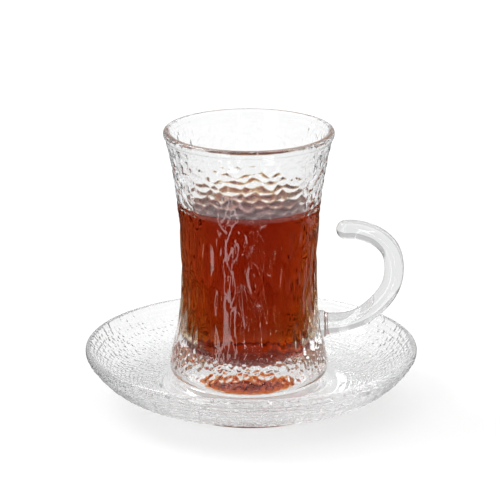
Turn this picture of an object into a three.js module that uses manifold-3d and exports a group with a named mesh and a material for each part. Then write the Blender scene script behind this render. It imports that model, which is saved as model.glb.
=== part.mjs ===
// A handled tea glass full of black tea, standing on its own pressed glass saucer.
// Millimetres, +Z up. The origin is the middle of the saucer's foot, on the table.
// The handle points along +X. The glass body, its lug and its hook handle are one solid.

import * as THREE from 'three';
import { mergeVertices } from 'three/addons/utils/BufferGeometryUtils.js';
import Module from 'manifold-3d';

const wasm = await Module();
wasm.setup();

// Clearance kept between two pieces that rest on or in each other.
const REST_GAP = 0.3;

// Saucer, as heights above the table.
const SAUCER_RADIUS = 62.7;
const SAUCER_TOP = 21.7;
const RIM_BEAD = 1.2;
const FOOT_RING_OUTER = 34;
const FOOT_RING_INNER = 29.5;
const FOOT_RING_ROUND = 0.8;
const FOOT_RECESS = 3.2;
const SEAT_RADIUS = 31;
const SEAT_HEIGHT = 8.2;
const SEAT_STEP = 0.6;
const SAUCER_COLUMNS = 80;
const HAMMER_DEPTH = 0.35;
const HAMMER_FROM = 37;
const HAMMER_TO = 61.5;
// Underside from the foot ring out to the rim, and the dish from the rim back to the seat.
const UNDERSIDE = [[37, 2.4], [45, 4.9], [52.4, 8.1], [57.6, 12.2], [61, 16.2], [62.5, 18.8]];
const DISH = [[60.3, 20.6], [58.6, 18.6], [55.2, 14.7], [50.4, 11.2], [44, 9.3], [34, 8.9]];
const UNDERSIDE_ROWS = 9;
const DISH_ROWS = 8;

// Glass, as heights above its own foot. It stands a little off the saucer's middle.
const GLASS_OFFSET_X = -0.85;
const GLASS_FOOT = SEAT_HEIGHT + REST_GAP;
const GLASS_HEIGHT = 97.2;
const FOOT_RADIUS = 24.8;
const LIP_RADIUS = 31.85;
const LIP_TOP_RADIUS = 31;
const LIP_FLAT = 1.7;
// Outside of the body: rounded heel, belly, waist, and the flare up to the lip.
const HEEL = [[27.4, 1.1], [29.2, 3.1]];
const BODY = [
  [29.9, 6], [29.2, 10.5], [28.2, 16], [26.8, 23], [25.8, 32], [25.35, 43.5],
  [25.75, 55], [26.7, 69.5], [28, 79.5], [29.4, 88], [30.9, 93.4],
];
const BODY_ROWS = 16;
const GLASS_COLUMNS = 100;
// Shallow dome under the foot, from its middle out to the flat ring that the glass stands on.
const DOME = [[0, 3.2], [13, 2.1], [21.6, 0]];
// Inside of the glass, from the middle of its thick bottom up to the lip.
const BOTTOM_THICKNESS = 8.9;
const CAVITY = [
  [9, 9], [13, 9.7], [15.9, 11.6], [17.7, 15], [19, 19.2], [20.4, 25], [21.7, 32],
  [22.4, 42], [22.8, 53], [23.7, 65], [25, 76.5], [26.7, 87], [28.4, 94],
];
const CAVITY_ROWS = 14;
const CAVITY_COLUMNS = 48;
const CAVITY_BOTTOM_RADIUS = 4;
const CAVITY_LIP_RADIUS = 29.3;
const TEA_LEVEL = 69;

// Wavy upright ridges on the outside of the body.
const RIDGE_DEPTH = 0.42;
const RIDGE_FROM = 4;
const RIDGE_TO = 90;
const RIDGE_FADE = 3;
const SWAY = 0.45;
const SWAY_HEIGHT = 17;
const CELL_HEIGHT = 11;
const SWAY_LOBES = 5;
const CELL_LOBES = 9;

// Hook handle: a round rod along a route in the plane Y = 0, from inside the wall to its tip.
const ROD_RADIUS = 3.6;
const ROD_SIDES = 12;
const ROD_STEPS = 30;
const ROUTE = [
  [24.2, 29.6], [28.3, 29.7], [34.8, 30.3], [41.9, 32.8], [48, 37.8], [52.4, 44.2],
  [53.8, 51.3], [52.4, 58.7], [47.4, 64], [40.4, 66.6], [35.5, 66.9],
];
const LUG_RADIUS = 5.1;
const LUG_LENGTH = 7;
const LUG_START = 24.2;
const LUG_SIDES = 20;

const glassMaterial = new THREE.MeshStandardMaterial({
  color: 0xe8eef0,
  roughness: 0.06,
  metalness: 0,
  transparent: true,
  opacity: 0.35,
});
const saucerMaterial = glassMaterial.clone();
const teaMaterial = new THREE.MeshStandardMaterial({
  color: 0x5c1a08,
  roughness: 0.08,
  metalness: 0,
});

// Evenly spaced points of a smooth curve through the given [radius, height] pairs.
function smooth(pairs, rows) {
  const curve = new THREE.SplineCurve(pairs.map(([r, z]) => new THREE.Vector2(r, z)));
  return curve.getSpacedPoints(rows);
}

function points(pairs) {
  return pairs.map(([r, z]) => new THREE.Vector2(r, z));
}

// A profile turned about the Z axis, with its columns of vertices kept in order.
function turned(profile, columns) {
  const geometry = new THREE.LatheGeometry(profile, columns);
  geometry.rotateX(Math.PI / 2);
  return geometry;
}

function solid(geometry) {
  geometry.deleteAttribute('normal');
  geometry.deleteAttribute('uv');
  const merged = mergeVertices(geometry, 1e-4);
  const corners = merged.index.array;
  const faces = [];
  for (let i = 0; i < corners.length; i += 3) {
    const [a, b, c] = corners.slice(i, i + 3);
    if (a !== b && b !== c && c !== a) faces.push(a, b, c);
  }
  return new wasm.Manifold(new wasm.Mesh({
    numProp: 3,
    vertProperties: merged.attributes.position.array,
    triVerts: new Uint32Array(faces),
  }));
}

function mesh(name, shape, material) {
  const { vertProperties, triVerts } = shape.getMesh();
  const geometry = new THREE.BufferGeometry();
  geometry.setAttribute('position', new THREE.BufferAttribute(vertProperties, 3));
  geometry.setIndex(new THREE.BufferAttribute(triVerts, 1));
  geometry.computeVertexNormals();
  const piece = new THREE.Mesh(geometry, material);
  piece.name = name;
  return piece;
}

// Fades from 0 to 1 over `fade` above `from`, and back to 0 at `to`.
function between(value, from, to, fade) {
  const rise = THREE.MathUtils.smoothstep(value, from, from + fade);
  const fall = 1 - THREE.MathUtils.smoothstep(value, to - fade, to);
  return rise * fall;
}

// Every second column of the body stands out as a ridge that sways as it climbs.
function addRidges(geometry, rows) {
  const place = geometry.attributes.position;
  const pitch = (2 * Math.PI) / GLASS_COLUMNS;
  for (let i = 0; i < place.count; i += 1) {
    const column = Math.floor(i / rows) % GLASS_COLUMNS;
    const x = place.getX(i);
    const y = place.getY(i);
    const height = place.getZ(i);
    const radius = Math.hypot(x, y);
    const angle = Math.atan2(y, x);
    const strength = between(height, RIDGE_FROM, RIDGE_TO, RIDGE_FADE);
    if (radius < FOOT_RADIUS || strength === 0) continue;
    const sway = Math.sin((2 * Math.PI * height) / SWAY_HEIGHT + SWAY_LOBES * angle);
    const swell = Math.sin((2 * Math.PI * height) / CELL_HEIGHT + CELL_LOBES * angle);
    const side = column % 2 === 0 ? 1 : -1;
    const movedRadius = radius + strength * RIDGE_DEPTH * (side * (0.6 + 0.4 * swell) - 0.5) * 0.5;
    const movedAngle = angle + strength * SWAY * pitch * sway;
    place.setXY(i, movedRadius * Math.cos(movedAngle), movedRadius * Math.sin(movedAngle));
  }
}

function glassBody() {
  const profile = [
    ...points([...DOME, [FOOT_RADIUS, 0], ...HEEL]),
    ...smooth(BODY, BODY_ROWS),
    ...points([
      [LIP_RADIUS - 0.3, GLASS_HEIGHT - 2.6],
      [LIP_RADIUS, GLASS_HEIGHT - 1.4],
      [LIP_RADIUS - 0.2, GLASS_HEIGHT - 0.5],
      [LIP_TOP_RADIUS, GLASS_HEIGHT],
      [0, GLASS_HEIGHT],
    ]),
  ];
  const geometry = turned(profile, GLASS_COLUMNS);
  addRidges(geometry, profile.length);
  geometry.translate(GLASS_OFFSET_X, 0, GLASS_FOOT);
  return solid(geometry);
}

// The wall of the cavity up to a height, moved inwards and up by a clearance.
function cavityProfile(top, clearance) {
  const wall = smooth([[CAVITY_BOTTOM_RADIUS, BOTTOM_THICKNESS], ...CAVITY], CAVITY_ROWS)
    .map((p) => new THREE.Vector2(p.x - clearance, p.y + clearance))
    .filter((p) => p.y < top - REST_GAP);
  return [new THREE.Vector2(0, BOTTOM_THICKNESS + clearance), ...wall];
}

// Radius of a profile at a height between two of its points.
function radiusAt(profile, height) {
  const above = profile.findIndex((p) => p.y > height);
  const [a, b] = [profile[above - 1], profile[above]];
  return THREE.MathUtils.mapLinear(height, a.y, b.y, a.x, b.x);
}

function cavity() {
  const open = GLASS_HEIGHT + 1;
  const profile = [
    ...cavityProfile(GLASS_HEIGHT, 0),
    ...points([
      [CAVITY_LIP_RADIUS - 0.4, GLASS_HEIGHT - 1.4],
      [CAVITY_LIP_RADIUS, GLASS_HEIGHT - 0.3],
      [LIP_TOP_RADIUS - LIP_FLAT + 1, open],
      [0, open],
    ]),
  ];
  const geometry = turned(profile, CAVITY_COLUMNS);
  geometry.translate(GLASS_OFFSET_X, 0, GLASS_FOOT);
  return solid(geometry);
}

function handle() {
  const route = new THREE.CatmullRomCurve3(ROUTE.map(([x, z]) => new THREE.Vector3(x, 0, z)));
  const section = new THREE.Shape();
  section.absarc(0, 0, ROD_RADIUS, 0, 2 * Math.PI, false);
  const rod = new THREE.ExtrudeGeometry(section, {
    curveSegments: ROD_SIDES / 2,
    steps: ROD_STEPS,
    extrudePath: route,
    bevelEnabled: false,
  });
  const [tipX, tipZ] = ROUTE.at(-1);
  const tip = new THREE.SphereGeometry(ROD_RADIUS, ROD_SIDES, ROD_SIDES / 2);
  tip.translate(tipX, 0, tipZ);
  const lug = new THREE.CylinderGeometry(ROD_RADIUS, LUG_RADIUS, LUG_LENGTH, LUG_SIDES);
  lug.rotateZ(-Math.PI / 2);
  lug.translate(LUG_START + LUG_LENGTH / 2, 0, ROUTE[0][1]);
  return solid(rod).add(solid(tip)).add(solid(lug));
}

function teaGlass() {
  return glassBody().add(handle()).subtract(cavity());
}

// The drink, as a solid up to its level, standing clear of the wall.
function tea() {
  const wall = cavityProfile(TEA_LEVEL, REST_GAP);
  const levelRadius = radiusAt(cavityProfile(GLASS_HEIGHT, REST_GAP), TEA_LEVEL);
  const profile = [...wall, ...points([[levelRadius, TEA_LEVEL], [0, TEA_LEVEL]])];
  const geometry = turned(profile, CAVITY_COLUMNS);
  geometry.translate(GLASS_OFFSET_X, 0, GLASS_FOOT);
  return solid(geometry);
}

// Small pits and bumps under the dish, alternating from row to row and column to column.
function addHammering(geometry, rows, lastRow) {
  const place = geometry.attributes.position;
  for (let i = 0; i < place.count; i += 1) {
    const row = i % rows;
    const column = Math.floor(i / rows) % SAUCER_COLUMNS;
    const radius = Math.hypot(place.getX(i), place.getY(i));
    if (row > lastRow || radius < HAMMER_FROM || radius > HAMMER_TO) continue;
    const lift = (row + column) % 2 === 0 ? HAMMER_DEPTH : 0;
    place.setZ(i, place.getZ(i) + lift);
  }
}

function saucer() {
  const under = [
    ...points([
      [0, FOOT_RECESS],
      [FOOT_RING_INNER - FOOT_RECESS, FOOT_RECESS],
      [FOOT_RING_INNER, 0],
      [FOOT_RING_OUTER - FOOT_RING_ROUND, 0],
      [FOOT_RING_OUTER, FOOT_RING_ROUND],
    ]),
    ...smooth(UNDERSIDE, UNDERSIDE_ROWS),
  ];
  const profile = [
    ...under,
    ...points([
      [SAUCER_RADIUS, SAUCER_TOP - RIM_BEAD],
      [SAUCER_RADIUS - 0.5, SAUCER_TOP - 0.3],
      [SAUCER_RADIUS - RIM_BEAD, SAUCER_TOP],
      [SAUCER_RADIUS - 1.9, SAUCER_TOP - 0.3],
    ]),
    ...smooth(DISH, DISH_ROWS),
    ...points([
      [SEAT_RADIUS + SEAT_STEP, SEAT_HEIGHT + SEAT_STEP],
      [SEAT_RADIUS, SEAT_HEIGHT],
      [0, SEAT_HEIGHT],
    ]),
  ];
  const geometry = turned(profile, SAUCER_COLUMNS);
  addHammering(geometry, profile.length, under.length - 1);
  return solid(geometry);
}

const teaSet = new THREE.Group();
teaSet.add(mesh('tea_glass', teaGlass(), glassMaterial));
teaSet.add(mesh('tea', tea(), teaMaterial));
teaSet.add(mesh('saucer', saucer(), saucerMaterial));

export default teaSet;
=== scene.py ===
# Models a pressed tea glass with a hook handle, the black tea in it and its glass saucer.

import math

import bmesh
import bpy
from mathutils import Matrix, Vector, noise


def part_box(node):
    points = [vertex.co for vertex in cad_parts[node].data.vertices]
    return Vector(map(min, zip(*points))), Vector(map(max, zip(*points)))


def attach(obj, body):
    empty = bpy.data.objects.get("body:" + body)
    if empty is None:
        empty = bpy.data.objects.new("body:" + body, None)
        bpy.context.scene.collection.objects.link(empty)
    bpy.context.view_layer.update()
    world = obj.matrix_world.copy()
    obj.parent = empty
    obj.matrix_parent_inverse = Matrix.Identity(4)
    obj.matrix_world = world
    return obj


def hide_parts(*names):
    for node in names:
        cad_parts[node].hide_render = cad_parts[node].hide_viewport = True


bl_info = {
    "name": "Pressed Tea Glass",
    "version": (1, 0, 0),
    "blender": (4, 5, 0),
    "location": "View3D > Sidebar > Tea Glass",
    "description": "Models a ridged handled tea glass, its tea and its saucer",
    "category": "Add Mesh",
}

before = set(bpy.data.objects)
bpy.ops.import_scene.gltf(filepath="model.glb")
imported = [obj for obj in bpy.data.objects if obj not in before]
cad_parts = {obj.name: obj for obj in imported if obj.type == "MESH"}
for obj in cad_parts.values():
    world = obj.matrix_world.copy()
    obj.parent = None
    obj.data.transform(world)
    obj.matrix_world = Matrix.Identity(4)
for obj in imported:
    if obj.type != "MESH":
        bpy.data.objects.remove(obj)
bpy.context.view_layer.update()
GLASS_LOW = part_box("tea_glass")[0]
TEA_LOW, TEA_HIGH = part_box("tea")

MM = 0.001
MERGE_DISTANCE = 1e-6
WEDGE_DOUBLINGS = 5
AXIS_X = (TEA_LOW.x + TEA_HIGH.x) / 2
FOOT_HEIGHT = GLASS_LOW.z
TEA_HEIGHT = TEA_HIGH.z - GLASS_LOW.z

# Outlines as (radius, height) in millimetres: the glass above its own foot, the saucer above
# the table.
FOOT_RADIUS = 24.8
DOME = [(0, 3.2), (6, 3), (12, 2.4), (17, 1.3), (20.5, 0.3), (21.6, 0)]
HEEL = [(27.4, 1.1), (29.2, 3.1)]
BODY = [
    (29.9, 6), (29.2, 10.5), (28.2, 16), (26.8, 23), (25.8, 32), (25.35, 43.5),
    (25.75, 55), (26.7, 69.5), (28, 79.5), (29.4, 88), (30.9, 93.4), (31.55, 94.6),
]
LIP_OUTSIDE = [(31.85, 95.8), (31.6, 96.8), (30.9, 97.19)]
LIP_INSIDE = [(29.9, 97.1), (29.2, 96.6), (28.9, 95.8)]
CAVITY = [
    (28.4, 94), (26.7, 87), (25, 76.5), (23.7, 65), (22.8, 53), (22.4, 42), (21.7, 32),
    (20.4, 25), (19, 19.2), (17.7, 15), (15.9, 11.6), (13, 9.7), (9, 9), (4, 8.9),
]
CAVITY_BOTTOM = 8.9
FLAT_RADIUS = 2

# Spacing of the profile's points, and the heights between which the outside has half as many.
DOME_SPACING = 3.0
CAVITY_SPACING = 3.2
COARSE_HEIGHTS = (16, 55)
# Faces of the wall whose outward part is less than this get no relief.
STEEPEST = 0.3
# Faces of the cavity above the first height and below the tea's level are wetted. They face
# the second height on the axis.
WET_FROM = 8
CAVITY_MIDDLE = 80

# Cells of the relief: how many stand round the glass over 2 pi, their height, and a seed.
RIDGE_CELLS = (6.4, 16.0, 3.1)
GRANULE_CELLS = (12.5, 2.3, 40.3)
# How far the cells are bent, in cells, and how quickly the bend changes from cell to cell.
CELL_WARP = 0.4
WARP_CHANGE = 0.6
# How steep the cells are, and a factor that gives each of them a tilt of its own.
CELL_TILT = 0.55
TILT_SPREAD = 7.3
GROOVE_WIDTH = 0.5
SCALLOP_COUNT = 31
SCALLOP_HEIGHT = 2.9
# How far the scallops stray across and upwards, in cells, and the size of that noise.
SCALLOP_SWAY = (0.45, 0.3)
SWAY_AROUND, SWAY_TALL = 5, 5
# How quickly a scallop falls off across and upwards.
SCALLOP_FALL = (2.4, 7.2)
# Heights between which each part of the relief comes in or dies out.
FOOT_FADE = (4.5, 9)
GRANULE_FADE = (10, 26)
SCALLOP_FADE = (60, 68)
TOP_RIDGE_FADE = (76, 88)
LIP_FADE = (91.5, 94)
# Depth of each part beside the ridges at the waist, and how far all of it is sunk.
GRANULE_SHARE = 0.85
SCALLOP_SHARE = 1.25
TOP_RIDGE_SHARE = 0.6
SUNK = 0.6

GLASS_IOR = 1.5
TEA_IOR = 1.33
# How much of the light each glass lets through.
WALL_TINT = 0.935
WET_TINT = 0.96
# The rod's glass is dimmed far below the wall's glass: painted shade that greys the handle.
ROD_PAINTED_SHADE_TINT = 0.78
# The saucer's glass is dimmed more than the wall's glass: painted shade that greys the dish.
SAUCER_PAINTED_SHADE_TINT = 0.91
GLASS_ROUGHNESS = 0.03
TEA_ROUGHNESS = 0.02
# Height and upright stretch of the streaks in the body's wall, and the radii between which
# they come in.
STREAK_HEIGHT = 4.0
STREAK_STRETCH = 0.09
STREAK_FADE = (33.5 * MM, 32.5 * MM)
# How far below its level the tea still counts as open surface.
LEVEL_MARGIN = 0.02 * MM
# From the first height down to the second the tea comes to bend light at its side too, which
# keeps its round bottom dark red.
ROUNDING = (18, 12)
# Which of the glass's materials its wetted faces and its rod have.
WET_MATERIAL = 1
ROD_MATERIAL = 2

# How far the tea reaches into the wall, and the width and fall of its climb at the wall.
TEA_REACH = 0.2
TEA_SPACING = 1.2
TEA_COLUMNS = 192
CLIMB_WIDTH = 3.0
CLIMB_FALL = 0.9
CLIMB_STEPS = 11

# The saucer from its recess out to the rim and back over the dish to the seat.
FOOT_RING = [(26.3, 3.2), (29.5, 0), (33.2, 0), (34, 0.8)]
UNDERSIDE = [(37, 2.4), (45, 4.9), (52.4, 8.1), (57.6, 12.2), (61, 16.2), (62.5, 18.8)]
RIM = [(62.7, 20.5), (62.2, 21.4), (61.5, 21.7), (60.8, 21.4)]
DISH = [(60.3, 20.6), (58.6, 18.6), (55.2, 14.7), (50.4, 11.2), (44, 9.3), (34, 8.9)]
SEAT = [(31.6, 8.8), (31, 8.2)]
RECESS_HEIGHT = 3.2
FOOT_SPACING = 0.8
UNDERSIDE_SPACING = 0.55
DISH_SPACING = 1.4
# Radii between which the hammering comes in, its outermost radius, and the heights between
# which it dies out under the rim.
HAMMER_FROM = (35 * MM, 37 * MM)
HAMMER_TO = 62.6 * MM
HAMMER_FADE = (19 * MM, 20.5 * MM)
# Height and groove of the hammered cells, height of the rings, and how far all of it is sunk,
# beside the hammer depth.
HAMMER_CELLS, HAMMER_GROOVE = 0.8, 0.6
HAMMER_RINGS = 0.6
HAMMER_SUNK = 0.7
# How much the rings count height beside radius, and the size and change of their drift.
RING_RISE = 0.6
RING_DRIFT, DRIFT_CHANGE = 1.4, 0.4

# The middle of the rod as (distance, height) in millimetres, from the saucer's axis and above
# the table.
HANDLE_ROUTE = [
    (24.2, 29.6), (28.3, 29.7), (34.8, 30.3), (41.9, 32.8), (48, 37.8), (52.4, 44.2),
    (53.8, 51.3), (52.4, 58.7), (47.4, 64), (40.4, 66.6), (35.5, 66.9),
]
ROD_STEPS = 96
ROD_SIDES = 56
TIP_STEPS = 10
LOOK_AHEAD = 0.01
# How much thicker the rod is at the wall, and the lengths along it at which that dies out.
TAPER, TAPER_FADE = 0.16, (4 * MM, 14 * MM)
COLLAR, COLLAR_FADE = 0.28, (3.2 * MM, 4.6 * MM)

# The camera that was fitted to the photograph.
CAMERA_PLACE = (-0.43 * MM, -1064.3 * MM, 389.5 * MM)
CAMERA_TILT = 17.26
FOCAL_LENGTH_IN_WIDTHS = 2967.7 / 500
LIGHT_AIM = (0, 0, 60 * MM)


class GlassSettings(bpy.types.PropertyGroup):
    """Sizes of the glass's relief and the number of faces it is made with."""

    columns: bpy.props.IntProperty(
        name="Columns", description="Faces round the body, a multiple of 32",
        default=448, min=64, step=32,
    )
    row_height: bpy.props.FloatProperty(
        name="Row height", description="Height of a face on the outside, doubled at the waist",
        default=0.5 * MM, unit="LENGTH",
    )
    ridge_depth: bpy.props.FloatProperty(
        name="Ridge depth", description="Depth of the wavy ridges on the body",
        default=0.45 * MM, unit="LENGTH",
    )
    seed: bpy.props.IntProperty(
        name="Seed", description="Which of the random reliefs is made", default=2, min=1
    )
    rod_radius: bpy.props.FloatProperty(
        name="Rod radius", description="Radius of the handle's rod",
        default=3.6 * MM, unit="LENGTH",
    )


class TeaSettings(bpy.types.PropertyGroup):
    """Colour of the tea and the shape of its edge."""

    absorption: bpy.props.FloatVectorProperty(
        name="Passed colour", description="What the tea lets through",
        subtype="COLOR", default=(0.856, 0.568, 0.02),
    )
    density: bpy.props.FloatProperty(
        name="Density", description="How strongly the tea absorbs, per metre", default=245.0
    )
    meniscus: bpy.props.FloatProperty(
        name="Meniscus", description="How far the tea climbs the wall",
        default=0.8 * MM, unit="LENGTH",
    )


class SaucerSettings(bpy.types.PropertyGroup):
    """Sizes of the saucer's hammered relief and the number of faces it is made with."""

    columns: bpy.props.IntProperty(
        name="Columns", description="Faces round the saucer, a multiple of 32",
        default=768, min=64, step=32,
    )
    hammer_depth: bpy.props.FloatProperty(
        name="Hammer depth", description="Depth of the cells under the dish",
        default=0.38 * MM, unit="LENGTH",
    )
    cell_size: bpy.props.FloatProperty(
        name="Cell size", description="Width of a hammered cell",
        default=2.15 * MM, unit="LENGTH",
    )


class StageSettings(bpy.types.PropertyGroup):
    """Brightness of the studio."""

    ambient: bpy.props.FloatProperty(
        name="Ambient", description="Brightness of the white studio", default=1.0
    )
    key_power: bpy.props.FloatProperty(
        name="Key light", description="Power of the large soft box", default=5.8, unit="POWER"
    )


class Value:
    """A number in a node tree. Sums and products of it add Math nodes."""

    def __init__(self, shader, socket):
        self.shader = shader
        self.socket = socket

    def math(self, operation, other):
        return self.shader.node("ShaderNodeMath", {"operation": operation}, {0: self, 1: other})

    def __add__(self, other):
        return self.math("ADD", other)

    def __mul__(self, other):
        return self.math("MULTIPLY", other)

    def __sub__(self, other):
        return self.math("SUBTRACT", other)

    def __rsub__(self, other):
        return self.shader.node("ShaderNodeMath", {"operation": "SUBTRACT"}, {0: other, 1: self})

    __radd__ = __add__
    __rmul__ = __mul__


class Shader:
    """A node tree, cleared, whose nodes are added by type, settings and socket values."""

    def __init__(self, owner):
        owner.use_nodes = True
        self.tree = owner.node_tree
        self.tree.nodes.clear()

    def node(self, kind, settings=None, sockets=None, output=0):
        added = self.tree.nodes.new(kind)
        for name, value in (settings or {}).items():
            setattr(added, name, value)
        for name, value in (sockets or {}).items():
            if isinstance(value, Value):
                self.tree.links.new(value.socket, added.inputs[name])
            else:
                added.inputs[name].default_value = value
        return Value(self, added.outputs[output]) if added.outputs else None


def between(value, low, high):
    """Rises smoothly from 0 at low to 1 at high."""
    t = min(max((value - low) / (high - low), 0.0), 1.0)
    return t * t * (3 - 2 * t)


def spline_point(points, t):
    """A point of the curve through the given points, t counting from 0 at the first."""
    last = len(points) - 1
    index = min(int(t), last - 1)
    part = t - index
    before, start, end, after = (
        Vector(points[min(max(index + step, 0), last)]) for step in (-1, 0, 1, 2)
    )
    slope = (end - before) / 2
    next_slope = (after - start) / 2
    square, cube = part * part, part * part * part
    return (
        start * (2 * cube - 3 * square + 1) + slope * (cube - 2 * square + part)
        + end * (3 * square - 2 * cube) + next_slope * (cube - square)
    )


def spline(points, spacing, coarse=(0, 0)):
    """Points about spacing apart along the curve through the given points.

    They are twice as far apart where the second coordinate is in the coarse range."""
    placed = []
    for index in range(len(points) - 1):
        span = (Vector(points[index + 1]) - Vector(points[index])).length
        doubled = 2 if coarse[0] <= points[index][1] < coarse[1] else 1
        steps = max(1, round(span / spacing / doubled))
        placed += [spline_point(points, index + step / steps) for step in range(steps)]
    placed.append(Vector(points[-1]))
    return placed


def straight(start, end, steps):
    """Evenly spaced points from start up to but not at end."""
    return [Vector(start).lerp(Vector(end), step / steps) for step in range(steps)]


def turn(profile, columns):
    """A bmesh of the profile, in millimetres, turned a full round about the upright axis.

    A wedge is spun, and then doubled until it closes, which is quicker than one long spin."""
    mesh = bmesh.new()
    ring = [mesh.verts.new((p[0] * MM, 0, p[1] * MM)) for p in profile]
    edges = [mesh.edges.new(pair) for pair in zip(ring, ring[1:])]
    wedge = 2 * math.pi / 2 ** WEDGE_DOUBLINGS
    bmesh.ops.spin(
        mesh, geom=ring + edges, cent=(0, 0, 0), axis=(0, 0, 1), dvec=(0, 0, 0),
        angle=wedge, steps=columns // 2 ** WEDGE_DOUBLINGS,
    )
    for doubling in range(WEDGE_DOUBLINGS):
        whole = mesh.verts[:] + mesh.edges[:] + mesh.faces[:]
        copied = bmesh.ops.duplicate(mesh, geom=whole)["geom"]
        bmesh.ops.rotate(
            mesh, verts=[v for v in copied if isinstance(v, bmesh.types.BMVert)],
            cent=(0, 0, 0), matrix=Matrix.Rotation(wedge * 2 ** doubling, 3, "Z"),
        )
    bmesh.ops.remove_doubles(mesh, verts=mesh.verts, dist=MERGE_DISTANCE)
    bmesh.ops.recalc_face_normals(mesh, faces=mesh.faces)
    mesh.normal_update()
    return mesh


def finished(mesh, name, *materials):
    """The bmesh as a smooth object at the origin with its materials."""
    data = bpy.data.meshes.new(name)
    mesh.to_mesh(data)
    mesh.free()
    for material in materials:
        data.materials.append(material)
    for face in data.polygons:
        face.use_smooth = True
    piece = bpy.data.objects.new(name, data)
    bpy.context.scene.collection.objects.link(piece)
    return piece


def in_noise(angle, around, upward):
    """The place in the noise of a point on a wall, so that the noise closes round the axis."""
    return Vector((around * math.cos(angle), around * math.sin(angle), upward))


def facets(angle, height, around, tall, seed):
    """Cells on a wall round the axis that tilt at random, from 0 in their grooves to about 1."""
    place = in_noise(angle, around, height / tall + seed)
    place += noise.noise_vector(place * WARP_CHANGE) * CELL_WARP
    distances, centres = noise.voronoi(place)
    tilt = noise.cell_vector(centres[0] * TILT_SPREAD).dot(place - centres[0])
    return between(distances[1] - distances[0], 0.0, GROOVE_WIDTH) * (1 + CELL_TILT * tilt)


def scallops(angle, height):
    """Rows of round cells that swell to 1 in the middle, each row shifted by half a cell."""
    sway = noise.noise_vector(in_noise(angle, SWAY_AROUND, height / SWAY_TALL))
    turns = angle * SCALLOP_COUNT / (2 * math.pi) + SCALLOP_SWAY[0] * sway.x
    rows = height / SCALLOP_HEIGHT / 2 + SCALLOP_SWAY[1] * sway.y
    nearest = 1.0
    for shift in (0, 0.5):
        across = (turns + shift) % 1 - 0.5
        along = (rows + shift) % 1 - 0.5
        nearest = min(nearest, SCALLOP_FALL[0] * across ** 2 + SCALLOP_FALL[1] * along ** 2)
    return 1 - nearest


class TEAGLASS_OT_glass(bpy.types.Operator):
    """Model the ridged body, lug and hook handle as one piece of glass"""

    bl_idname = "teaglass.glass"
    bl_label = "Glass"

    def execute(self, context):
        settings = context.scene.tea_glass
        dry = clear_glass("clear_pressed_glass", GLASS_IOR, WALL_TINT, STREAK_HEIGHT)
        wet = clear_glass("clear_glass_against_tea", GLASS_IOR / TEA_IOR, WET_TINT)
        # The rod's material is the same clear glass dimmed as painted shade, which greys the
        # handle.
        thick = clear_glass("clear_rod_glass_painted_shade", GLASS_IOR, ROD_PAINTED_SHADE_TINT)
        piece = finished(glass_body(settings), "glass_with_handle", dry, wet, thick)
        handle = finished(glass_handle(settings), "handle_rod", dry, wet, thick)
        join = piece.modifiers.new("join", "BOOLEAN")
        join.operation = "UNION"
        join.solver = "MANIFOLD"
        join.object = handle
        evaluated = piece.evaluated_get(context.evaluated_depsgraph_get())
        joined = bpy.data.meshes.new_from_object(evaluated)
        piece.modifiers.clear()
        piece.data = joined
        bpy.data.objects.remove(handle)
        for face in joined.polygons:
            face.use_smooth = True
        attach(piece, "root")
        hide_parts("tea_glass")
        return {"FINISHED"}


def glass_body(settings):
    """The body as one turned wall with its relief, its wetted faces in the second material."""
    outside = [(FOOT_RADIUS, 0), *HEEL, *BODY, *LIP_OUTSIDE, *LIP_INSIDE]
    profile = spline(DOME, DOME_SPACING)
    profile += spline(outside, settings.row_height / MM, COARSE_HEIGHTS)[:-1]
    profile += spline([LIP_INSIDE[-1], *CAVITY], CAVITY_SPACING)
    profile += [Vector((FLAT_RADIUS, CAVITY_BOTTOM)), Vector((0, CAVITY_BOTTOM))]
    body = turn(profile, settings.columns)
    # Without a seed of its own, the vector noise would differ from run to run.
    noise.seed_set(settings.seed)
    for vert in body.verts:
        radius = math.hypot(vert.co.x, vert.co.y)
        if radius < FOOT_RADIUS * MM:
            continue
        outward = Vector((vert.co.x, vert.co.y, 0)) / radius
        if vert.normal.dot(outward) < STEEPEST:
            continue
        relief = body_relief(math.atan2(vert.co.y, vert.co.x), vert.co.z / MM)
        vert.co += outward * settings.ridge_depth * relief
    for face in body.faces:
        middle = face.calc_center_median()
        inward = face.normal.dot(Vector((0, 0, CAVITY_MIDDLE * MM)) - middle) > 0
        if inward and WET_FROM * MM < middle.z < TEA_HEIGHT:
            face.material_index = WET_MATERIAL
    bmesh.ops.translate(body, verts=body.verts, vec=(AXIS_X, 0, FOOT_HEIGHT))
    return body


def body_relief(angle, height):
    """Relief on the outside, from the grooves to the ridges, at a height in millimetres."""
    ends = between(height, *FOOT_FADE) * (1 - between(height, *LIP_FADE))
    ridges = facets(angle, height, *RIDGE_CELLS)
    granules = facets(angle, height, *GRANULE_CELLS)
    upper = between(height, *SCALLOP_FADE)
    lower = 1 - between(height, *GRANULE_FADE)
    middle = 1 - upper - lower + TOP_RIDGE_SHARE * between(height, *TOP_RIDGE_FADE)
    swell = upper * SCALLOP_SHARE * scallops(angle, height)
    return ends * (middle * ridges + swell + lower * GRANULE_SHARE * granules - SUNK)


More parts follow.
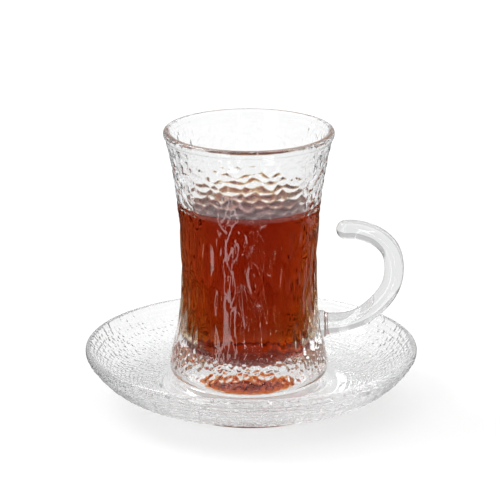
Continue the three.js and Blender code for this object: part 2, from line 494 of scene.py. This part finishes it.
def rod_stations(rod_radius):
    """Place, direction and radius of each ring of the rod, from the wall to its round tip."""
    route = [Vector((x * MM, 0, z * MM)) for x, z in HANDLE_ROUTE]
    last = len(route) - 1
    travelled = 0.0
    previous = route[0]
    stations = []
    for step in range(ROD_STEPS + 1):
        t = last * step / ROD_STEPS
        place = spline_point(route, t)
        ahead = spline_point(route, min(t + LOOK_AHEAD, last))
        behind = spline_point(route, max(t - LOOK_AHEAD, 0))
        travelled += (place - previous).length
        previous = place
        swell = 1 + TAPER * (1 - between(travelled, *TAPER_FADE))
        swell += COLLAR * (1 - between(travelled, *COLLAR_FADE))
        stations.append((place, (ahead - behind).normalized(), rod_radius * swell))
    tip, direction, radius = stations[-1]
    for step in range(1, TIP_STEPS):
        lean = math.pi / 2 * step / TIP_STEPS
        place = tip + direction * radius * math.sin(lean)
        stations.append((place, direction, radius * math.cos(lean)))
    return stations


def glass_handle(settings):
    """The hook in the third material: a rod, thick at the lug and round at its tip."""
    mesh = bmesh.new()
    rings = []
    for place, direction, radius in rod_stations(settings.rod_radius):
        turned = direction.to_track_quat("Z", "Y").to_matrix().to_4x4()
        matrix = Matrix.Translation(place) @ turned
        made = bmesh.ops.create_circle(mesh, segments=ROD_SIDES, radius=radius, matrix=matrix)
        rings.append({edge for vert in made["verts"] for edge in vert.link_edges})
    for ring, following in zip(rings, rings[1:]):
        bmesh.ops.bridge_loops(mesh, edges=list(ring | following))
    for ring in (rings[0], rings[-1]):
        bmesh.ops.edgeloop_fill(mesh, edges=list(ring))
    bmesh.ops.recalc_face_normals(mesh, faces=mesh.faces)
    for face in mesh.faces:
        face.material_index = ROD_MATERIAL
    return mesh


class TEAGLASS_OT_tea(bpy.types.Operator):
    """Model the tea up to its level, reaching just into the wall"""

    bl_idname = "teaglass.tea"
    bl_label = "Tea"

    def execute(self, context):
        settings = context.scene.tea_drink
        climb = settings.meniscus / MM
        level = TEA_HEIGHT / MM
        wall = [p for p in spline([*reversed(CAVITY)], TEA_SPACING) if p.y < level + climb]
        sides = [Vector((p.x + TEA_REACH, p.y - TEA_REACH)) for p in wall]
        edge = sides[-1].x
        bowl = [Vector((radius, CAVITY_BOTTOM - TEA_REACH)) for radius in (0, FLAT_RADIUS)]
        top = [Vector((edge, level + climb))]
        for step in range(1, CLIMB_STEPS + 1):
            inward = CLIMB_WIDTH * step / CLIMB_STEPS
            height = level + climb * math.exp(-inward / CLIMB_FALL)
            top.append(Vector((edge - TEA_REACH - inward, height)))
        top += [Vector((edge * share, level)) for share in (0.6, 0.3, 0)]
        mesh = turn(bowl + sides + top, TEA_COLUMNS)
        bmesh.ops.translate(mesh, verts=mesh.verts, vec=(AXIS_X, 0, FOOT_HEIGHT))
        piece = finished(mesh, "black_tea_in_glass", black_tea("clear_black_tea", settings))
        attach(piece, "root")
        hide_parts("tea")
        return {"FINISHED"}


class TEAGLASS_OT_saucer(bpy.types.Operator):
    """Model the saucer with its hammered underside and smooth seat"""

    bl_idname = "teaglass.saucer"
    bl_label = "Saucer"

    def execute(self, context):
        settings = context.scene.tea_saucer
        seat_middle = (0, SEAT[-1][1])
        profile = straight((0, RECESS_HEIGHT), FOOT_RING[0], steps=4)
        profile += [Vector((p.x, max(p.y, 0))) for p in spline(FOOT_RING, FOOT_SPACING)[:-1]]
        under = spline([FOOT_RING[-1], *UNDERSIDE, *RIM], UNDERSIDE_SPACING)[:-1]
        profile += [Vector((min(p.x, RIM[0][0]), p.y)) for p in under]
        profile += spline([RIM[-1], *DISH, *SEAT], DISH_SPACING)[:-1]
        profile += straight(SEAT[-1], seat_middle, steps=6) + [Vector(seat_middle)]
        mesh = turn(profile, settings.columns)
        for vert in mesh.verts:
            underside_relief(vert, settings)
        # The saucer's glass is dimmed as painted shade, which greys the dish.
        glass = clear_glass("clear_saucer_glass_painted_shade", GLASS_IOR, SAUCER_PAINTED_SHADE_TINT)
        piece = finished(mesh, "glass_saucer", glass)
        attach(piece, "root")
        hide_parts("saucer")
        return {"FINISHED"}


def underside_relief(vert, settings):
    """Pushes cells and rings into the underside, between the foot ring and the rim."""
    radius = math.hypot(vert.co.x, vert.co.y)
    if radius < HAMMER_FROM[0] or radius > HAMMER_TO or vert.normal.z > 0.0:
        return
    strength = between(radius, *HAMMER_FROM) * (1 - between(vert.co.z, *HAMMER_FADE))
    place = vert.co / settings.cell_size
    distances = noise.voronoi(place)[0]
    swell = between(distances[1] - distances[0], 0, HAMMER_GROOVE)
    cells = HAMMER_CELLS * swell - HAMMER_CELLS / 2
    run = radius + vert.co.z * RING_RISE
    drift = RING_DRIFT * noise.noise(place * DRIFT_CHANGE)
    rings = HAMMER_RINGS * math.sin(2 * math.pi * run / settings.cell_size + drift)
    vert.co += vert.normal * settings.hammer_depth * strength * (cells + rings - HAMMER_SUNK)


def clear_glass(name, ior, tint, streak_height=0.0):
    """Colourless fire-polished glass, faintly wavy, with upright streaks up to the lip's radius."""
    material = bpy.data.materials.new(name)
    shader = Shader(material)
    place = shader.node("ShaderNodeTexCoord", output="Object")
    polish = shader.node(
        "ShaderNodeTexNoise", {"noise_dimensions": "3D"},
        {"Vector": place, "Scale": 60.0, "Detail": 3.0, "Roughness": 0.55},
    )
    wave = shader.node(
        "ShaderNodeTexNoise", {"noise_dimensions": "3D"},
        {"Vector": place, "Scale": 260.0, "Detail": 2.0, "Roughness": 0.5},
    )
    upright = shader.node(
        "ShaderNodeMapping", {}, {"Vector": place, "Scale": (1, 1, STREAK_STRETCH)}
    )
    streaks = shader.node(
        "ShaderNodeTexNoise", {"noise_dimensions": "3D"},
        {"Vector": upright, "Scale": 620.0, "Detail": 1.0, "Roughness": 0.5},
    )
    east = shader.node("ShaderNodeSeparateXYZ", {}, {"Vector": place}, output="X") - AXIS_X
    north = shader.node("ShaderNodeSeparateXYZ", {}, {"Vector": place}, output="Y")
    on_body = shader.node(
        "ShaderNodeMapRange", {"interpolation_type": "SMOOTHSTEP"},
        {
            "Value": east * east + north * north, "From Min": STREAK_FADE[0] ** 2,
            "From Max": STREAK_FADE[1] ** 2, "To Min": 0.0, "To Max": streak_height,
        },
    )
    normal = shader.node(
        "ShaderNodeBump", {},
        {"Strength": 0.08, "Distance": 0.0004, "Height": wave + on_body * streaks},
    )
    surface = shader.node(
        "ShaderNodeBsdfPrincipled", {},
        {
            "Base Color": (tint, tint * 1.004, tint * 1.004, 1.0),
            "Roughness": polish * GLASS_ROUGHNESS,
            "IOR": ior,
            "Transmission Weight": 1.0,
            "Normal": normal,
        },
    )
    shader.node("ShaderNodeOutputMaterial", {}, {"Surface": surface})
    return material


def black_tea(name, settings):
    """Clear red-brown tea, which bends light at its open surface and its round bottom.

    Its sides bend none, because the wetted faces of the glass there stand for both."""
    material = bpy.data.materials.new(name)
    shader = Shader(material)
    place = shader.node("ShaderNodeTexCoord", output="Object")
    height = shader.node("ShaderNodeSeparateXYZ", {}, {"Vector": place}, output="Z")
    level = FOOT_HEIGHT + TEA_HEIGHT - LEVEL_MARGIN
    on_surface = shader.node(
        "ShaderNodeMath", {"operation": "GREATER_THAN"}, {0: height, 1: level}
    )
    on_bottom = shader.node(
        "ShaderNodeMapRange", {"interpolation_type": "SMOOTHSTEP"},
        {
            "Value": height, "From Min": FOOT_HEIGHT + ROUNDING[0] * MM,
            "From Max": FOOT_HEIGHT + ROUNDING[1] * MM,
        },
    )
    haze = shader.node(
        "ShaderNodeTexNoise", {"noise_dimensions": "3D"},
        {"Vector": place, "Scale": 90.0, "Detail": 2.0},
    )
    against_glass = shader.node(
        "ShaderNodeBsdfPrincipled", {},
        {"Base Color": (1, 1, 1, 1), "Roughness": 0.0, "IOR": 1.0, "Transmission Weight": 1.0},
    )
    open_surface = shader.node(
        "ShaderNodeBsdfPrincipled", {},
        {
            "Base Color": (1.0, 0.99, 0.98, 1.0),
            "Roughness": haze * TEA_ROUGHNESS,
            "IOR": TEA_IOR,
            "Transmission Weight": 1.0,
        },
    )
    surface = shader.node(
        "ShaderNodeMixShader", {}, {0: on_surface + on_bottom, 1: against_glass, 2: open_surface}
    )
    volume = shader.node(
        "ShaderNodeVolumeAbsorption", {},
        {"Color": (*settings.absorption, 1.0), "Density": settings.density},
    )
    shader.node("ShaderNodeOutputMaterial", {}, {"Surface": surface, "Volume": volume})
    return material


class TEAGLASS_OT_stage(bpy.types.Operator):
    """Add the pale floor, the studio's soft light and the camera"""

    bl_idname = "teaglass.stage"
    bl_label = "Stage"

    def execute(self, context):
        settings = context.scene.tea_stage
        stage_floor()
        studio_world(context.scene, settings)
        for name, azimuth, elevation, distance, size, share in (
            ("key_soft_box", -34, 0, 1.0, (0.25, 2.0), 1.0),
            ("strip_soft_box", 13, 0, 1.2, (0.045, 2.0), 0.35),
            ("left_soft_box", -110, 48, 1.1, (0.5, 0.5), 0.8),
        ):
            soft_box(name, azimuth, elevation, distance, size, settings.key_power * share)
        photo_camera(context.scene)
        return {"FINISHED"}


def stage_floor():
    """A pale table that glows a little, so that shadows on it stay faint."""
    mesh = bmesh.new()
    bmesh.ops.create_circle(mesh, cap_ends=True, segments=96, radius=4.0)
    material = bpy.data.materials.new("white_table")
    shader = Shader(material)
    place = shader.node("ShaderNodeTexCoord", output="Object")
    side = shader.node("ShaderNodeSeparateXYZ", {}, {"Vector": place}, output="X")
    away = shader.node("ShaderNodeSeparateXYZ", {}, {"Vector": place}, output="Y")
    beside = shader.node(
        "ShaderNodeMapRange", {"interpolation_type": "SMOOTHSTEP"},
        {"Value": side * side, "From Min": 0.08, "From Max": 0.4, "To Min": 1.0, "To Max": 0.6},
    )
    behind = shader.node(
        "ShaderNodeMapRange", {"interpolation_type": "SMOOTHSTEP"},
        {"Value": away, "From Min": 0.06, "From Max": 0.6, "To Min": 0.65, "To Max": 0.7},
    )
    glow = beside * behind
    light = shader.node("ShaderNodeCombineXYZ", {}, {"X": glow, "Y": glow, "Z": glow})
    surface = shader.node(
        "ShaderNodeBsdfPrincipled", {},
        {
            "Base Color": (0.33, 0.33, 0.33, 1.0),
            "Roughness": 0.9,
            "Specular IOR Level": 0.1,
            "Emission Color": light,
            "Emission Strength": 1.0,
        },
    )
    shader.node("ShaderNodeOutputMaterial", {}, {"Surface": surface})
    floor = finished(mesh, "white_table", material)
    floor.visible_glossy = False


def studio_world(scene, settings):
    """A white studio that is greyer beside and behind the camera."""
    world = bpy.data.worlds.new("white_studio")
    scene.world = world
    shader = Shader(world)
    direction = shader.node("ShaderNodeTexCoord", output="Generated")
    side, away, up = (
        shader.node("ShaderNodeSeparateXYZ", {}, {"Vector": direction}, output=axis)
        for axis in "XYZ"
    )
    strength = settings.ambient
    for value, low, high, darkest, brightest in (
        (away, -0.9, -0.2, 0.22, 1.0),
        (side * side, 0.25, 0.8, 1.0, 0.38),
        (up, -0.08, 0.02, 0.04, 1.0),
        (up, 0.35, 0.9, 0.72, 1.5),
    ):
        strength = strength * shader.node(
            "ShaderNodeMapRange", {"interpolation_type": "SMOOTHSTEP"},
            {
                "Value": value, "From Min": low, "From Max": high,
                "To Min": darkest, "To Max": brightest,
            },
        )
    background = shader.node(
        "ShaderNodeBackground", {},
        {"Color": (1, 1, 1, 1), "Strength": strength},
    )
    shader.node("ShaderNodeOutputWorld", {}, {"Surface": background})


def soft_box(name, azimuth, elevation, distance, size, power):
    """A rectangular area light facing the glass, its azimuth counted from the camera's side."""
    turn_angle, lift = math.radians(azimuth), math.radians(elevation)
    away = Vector((
        math.sin(turn_angle) * math.cos(lift), -math.cos(turn_angle) * math.cos(lift),
        math.sin(lift),
    ))
    data = bpy.data.lights.new(name, "AREA")
    data.shape = "RECTANGLE"
    data.size, data.size_y = size
    data.energy = power
    light = bpy.data.objects.new(name, data)
    light.location = Vector(LIGHT_AIM) + away * distance
    light.rotation_euler = away.to_track_quat("Z", "Y").to_euler()
    bpy.context.scene.collection.objects.link(light)


def photo_camera(scene):
    """The camera at the photograph's place, looking a little down along +Y."""
    data = bpy.data.cameras.new("photo_camera")
    data.sensor_width = 36.0
    data.lens = FOCAL_LENGTH_IN_WIDTHS * data.sensor_width
    data.clip_start = 0.05
    camera = bpy.data.objects.new("photo_camera", data)
    camera.location = CAMERA_PLACE
    camera.rotation_euler = (math.radians(90 - CAMERA_TILT), 0, 0)
    scene.collection.objects.link(camera)
    scene.camera = camera
    scene.view_settings.view_transform = "Standard"
    scene.cycles.max_bounces = 32
    scene.cycles.transmission_bounces = 32
    scene.cycles.glossy_bounces = 16


class TEAGLASS_PT_panel(bpy.types.Panel):
    """Lists the pieces of the tea glass"""

    bl_label = "Tea Glass"
    bl_idname = "TEAGLASS_PT_panel"
    bl_space_type = "VIEW_3D"
    bl_region_type = "UI"
    bl_category = "Tea Glass"

    def draw(self, context):
        for operator in OPERATORS:
            self.layout.operator(operator.bl_idname)


GROUPS = {
    "tea_glass": GlassSettings,
    "tea_drink": TeaSettings,
    "tea_saucer": SaucerSettings,
    "tea_stage": StageSettings,
}
OPERATORS = (TEAGLASS_OT_stage, TEAGLASS_OT_saucer, TEAGLASS_OT_glass, TEAGLASS_OT_tea)
CLASSES = (*GROUPS.values(), *OPERATORS, TEAGLASS_PT_panel)


def register():
    for listed in CLASSES:
        bpy.utils.register_class(listed)
    for name, group in GROUPS.items():
        setattr(bpy.types.Scene, name, bpy.props.PointerProperty(type=group))


def unregister():
    for name in GROUPS:
        delattr(bpy.types.Scene, name)
    for listed in reversed(CLASSES):
        bpy.utils.unregister_class(listed)


def main():
    register()
    bpy.ops.teaglass.stage()
    bpy.ops.teaglass.saucer()
    bpy.ops.teaglass.glass()
    bpy.ops.teaglass.tea()


if __name__ == "__main__":
    main()
